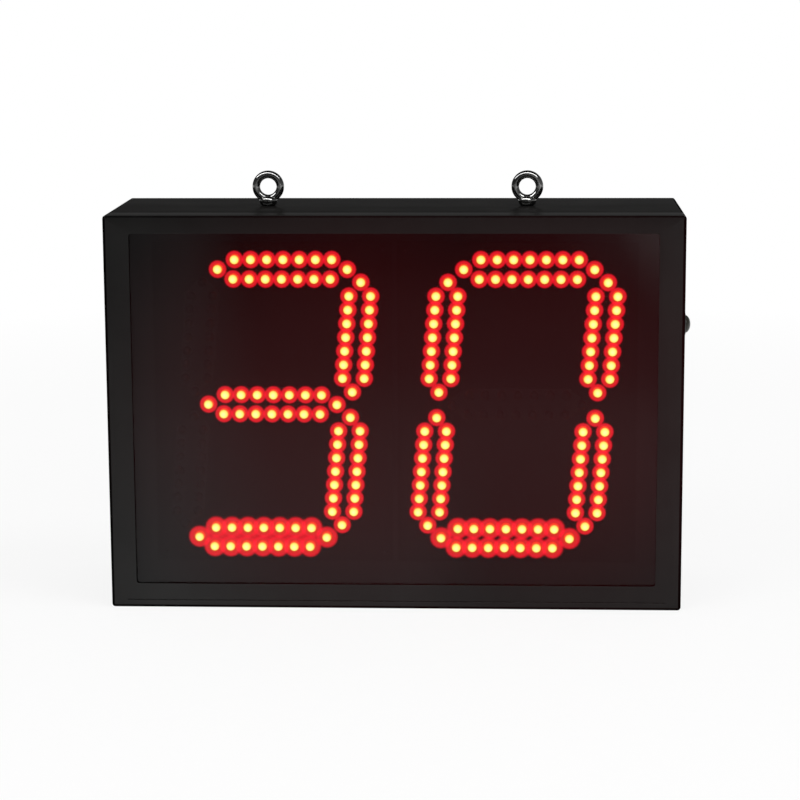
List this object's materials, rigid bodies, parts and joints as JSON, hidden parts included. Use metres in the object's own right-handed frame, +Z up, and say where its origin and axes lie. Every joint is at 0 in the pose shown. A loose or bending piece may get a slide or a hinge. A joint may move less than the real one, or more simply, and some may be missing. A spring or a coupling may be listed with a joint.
{
  "type": "shot clock",
  "caption": "Black steel shot clock with a smoked window, two slanted seven-segment digits of red lamps, lifting eye bolts and a side push button.",
  "frame": {"origin": "centre of the cabinet's flat underside", "axes": "+X to the viewer's right across the digits, +Y from the display face to the back, +Z up"},
  "size_m": [0.6152, 0.1966, 0.4528],
  "materials": {
    "painted_cabinet": "black satin powder coat, slightly warm",
    "smoked_window": "smoked clear acrylic, polished",
    "foam": "closed-cell foam tape",
    "zinc_steel": "zinc plated",
    "screw_steel": "black oxide",
    "chassis_aluminium": "black anodised sheet",
    "black_board": "black solder mask on glass-fibre board",
    "green_board": "green solder mask on glass-fibre board",
    "lit_lamp": "lit red lamp with a yellow core",
    "dark_lamp": "unlit red diffused lamp",
    "eyebolt_chrome": "dark polished plating",
    "black_plastic": "black moulded nylon",
    "button_plastic": "dark grey satin moulded cap",
    "rocker_red": "red moulded rocker",
    "terminal_green": "green moulded terminal block",
    "fuse_glass": "glass tube with plated caps",
    "ribbon_grey": "grey flat cable",
    "lead_sheath": "grey sheath"
  },
  "bodies": {
    "cabinet": {"cabinet_body": "painted_cabinet", "front_bezel": "painted_cabinet", "rear_cover": "painted_cabinet", "front_window": "smoked_window", "window_gasket": "foam", "window_retainer": "zinc_steel", "chassis_plate": "chassis_aluminium", "left_digit_board": "black_board", "left_segment_a": "lit_lamp", "left_segment_b": "lit_lamp", "left_segment_c": "lit_lamp", "left_segment_d": "lit_lamp", "left_segment_e": "dark_lamp", "left_segment_f": "dark_lamp", "left_segment_g": "lit_lamp", "right_digit_board": "black_board", "right_segment_a": "lit_lamp", "right_segment_b": "lit_lamp", "right_segment_c": "lit_lamp", "right_segment_d": "lit_lamp", "right_segment_e": "lit_lamp", "right_segment_f": "lit_lamp", "right_segment_g": "dark_lamp", "eyebolt_left": "eyebolt_chrome", "eyebolt_plate_left": "zinc_steel", "eyebolt_nut_left": "zinc_steel", "eyebolt_right": "eyebolt_chrome", "eyebolt_plate_right": "zinc_steel", "eyebolt_nut_right": "zinc_steel", "button_bushing": "black_plastic", "button_nut": "zinc_steel", "button_switch": "black_plastic", "controller_board": "green_board", "terminal_block": "terminal_green", "receiver_module": "green_board", "power_supply_case": "zinc_steel", "power_supply_terminals": "black_plastic", "sounder": "black_plastic", "ribbon_cable_left": "ribbon_grey", "ribbon_cable_right": "ribbon_grey", "mains_lead": "lead_sheath", "supply_lead": "lead_sheath", "mains_inlet": "black_plastic", "rear_screw_low_left": "screw_steel", "rear_screw_low_middle": "screw_steel", "rear_screw_low_right": "screw_steel", "rear_screw_high_left": "screw_steel", "rear_screw_high_middle": "screw_steel", "rear_screw_high_right": "screw_steel", "side_screw_low_left": "screw_steel", "side_screw_low_right": "screw_steel", "side_screw_high_left": "screw_steel", "side_screw_high_right": "screw_steel", "bezel_screw_left": "screw_steel", "bezel_screw_right": "screw_steel"},
    "push_button": {"button_cap": "button_plastic"},
    "fuse_tray": {"fuse_drawer": "black_plastic", "mains_fuse": "fuse_glass"},
    "rocker": {"power_rocker": "rocker_red"}
  },
  "joints": [
    {"name": "button_press", "type": "slide", "parent": "cabinet", "child": "push_button", "axis": [-1, 0, 0], "range_m": [0, 0.0025], "stiffness_N_per_m": 400, "springref_m": -0.004},
    {"name": "fuse_drawer_slide", "type": "slide", "parent": "cabinet", "child": "fuse_tray", "axis": [0, 1, 0], "range_m": [0, 0.012]},
    {"name": "power_rocker_tilt", "type": "hinge", "parent": "cabinet", "child": "rocker", "pos_m": [0.205, 0.0943, 0.0925], "axis": [1, 0, 0], "range_deg": [-18, 0]}
  ]
}
